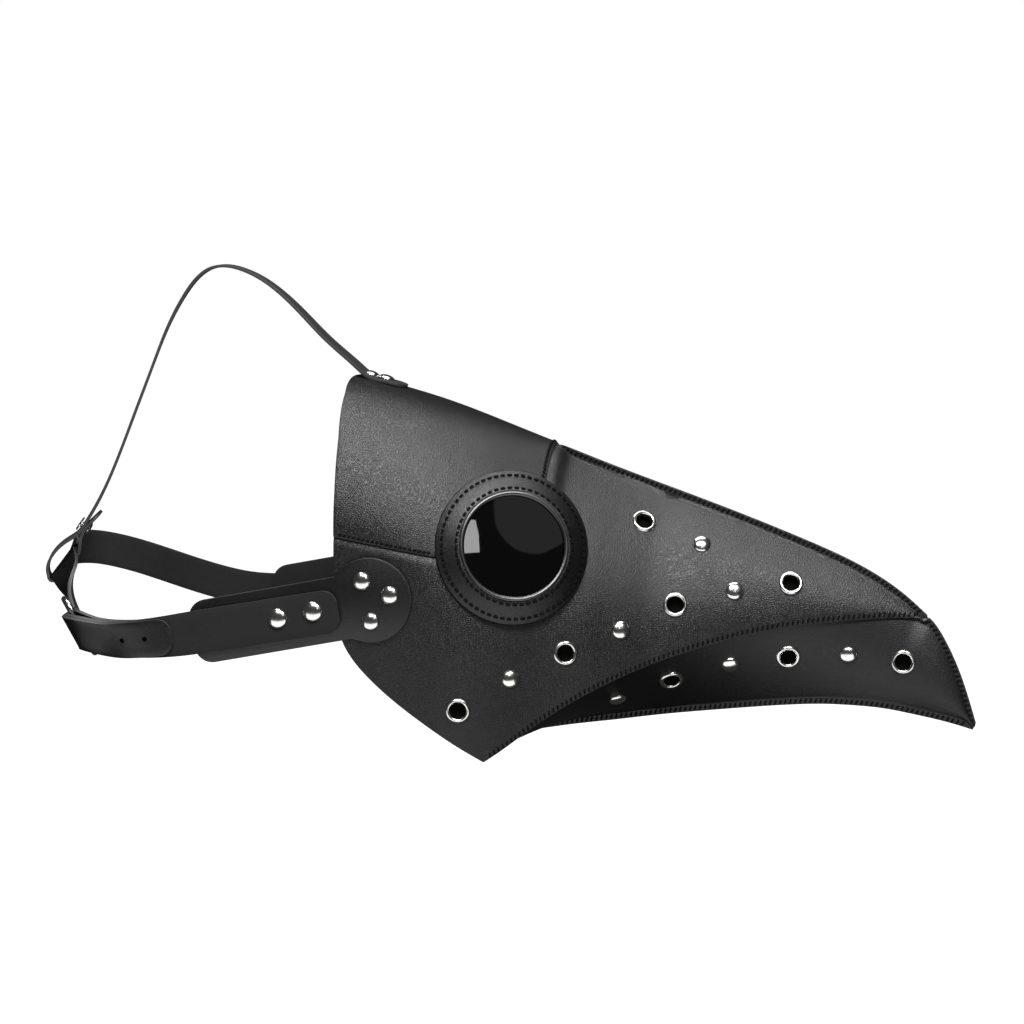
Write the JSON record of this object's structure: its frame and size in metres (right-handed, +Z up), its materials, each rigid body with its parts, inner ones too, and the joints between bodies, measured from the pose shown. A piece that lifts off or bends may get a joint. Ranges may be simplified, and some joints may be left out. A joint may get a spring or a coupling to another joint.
{
  "type": "plague doctor mask",
  "caption": "Long-beaked masquerade mask of sewn black leather panels with round dark lenses, eyelets, rivets, a buckled back strap and a looped top strap.",
  "frame": {"origin": "face opening: the back edge of the side panels on the mirror plane, at eye height", "axes": "+X forward along the beak, +Y towards the wearer's left, +Z up"},
  "size_m": [0.4798, 0.164, 0.2374],
  "materials": {
    "panel_leather": "fine pebble grain, satin",
    "ring_leather": "smooth, satin",
    "strap_leather": "smooth, satin",
    "bright_nickel": "polished",
    "smoked_lens": "glossy, nearly opaque",
    "black_gauze": "woven, matt",
    "black_plastic": "matte"
  },
  "bodies": {
    "mask": {"cheek_patch_left": "strap_leather", "cheek_patch_right": "strap_leather", "eye_ring_left": "ring_leather", "eye_ring_right": "ring_leather", "forehead_panel": "panel_leather", "gauze_discs_left": "black_gauze", "gauze_discs_right": "black_gauze", "lens_bezel_left": "bright_nickel", "lens_bezel_right": "bright_nickel", "lens_left": "smoked_lens", "lens_retainer_left": "black_plastic", "lens_retainer_right": "black_plastic", "lens_right": "smoked_lens", "long_strap": "strap_leather", "loop_rivet": "bright_nickel", "lower_eyelets_left": "bright_nickel", "lower_eyelets_right": "bright_nickel", "lower_panel_left": "panel_leather", "lower_panel_right": "panel_leather", "lower_rivets_left": "bright_nickel", "lower_rivets_right": "bright_nickel", "patch_rivets_left": "bright_nickel", "patch_rivets_right": "bright_nickel", "short_strap": "strap_leather", "side_eyelets_left": "bright_nickel", "side_eyelets_right": "bright_nickel", "side_panel_left": "panel_leather", "side_panel_right": "panel_leather", "side_rivets_left": "bright_nickel", "side_rivets_right": "bright_nickel", "strap_rivets_left": "bright_nickel", "strap_rivets_right": "bright_nickel", "top_rivets": "bright_nickel", "top_strap": "strap_leather"},
    "buckle_frame": {"buckle_frame": "bright_nickel"},
    "buckle_prong": {"buckle_prong": "bright_nickel"}
  },
  "joints": [
    {"name": "frame_hinge", "type": "hinge", "parent": "mask", "child": "buckle_frame", "pos_m": [-0.1315, -0.066, -0.044], "axis": [-0.4641, -0.1045, 0.8796], "range_deg": [0, 6]},
    {"name": "prong_hinge", "type": "hinge", "parent": "buckle_frame", "child": "buckle_prong", "pos_m": [-0.1315, -0.066, -0.044], "axis": [-0.4641, -0.1045, 0.8796], "range_deg": [0, 4]}
  ]
}
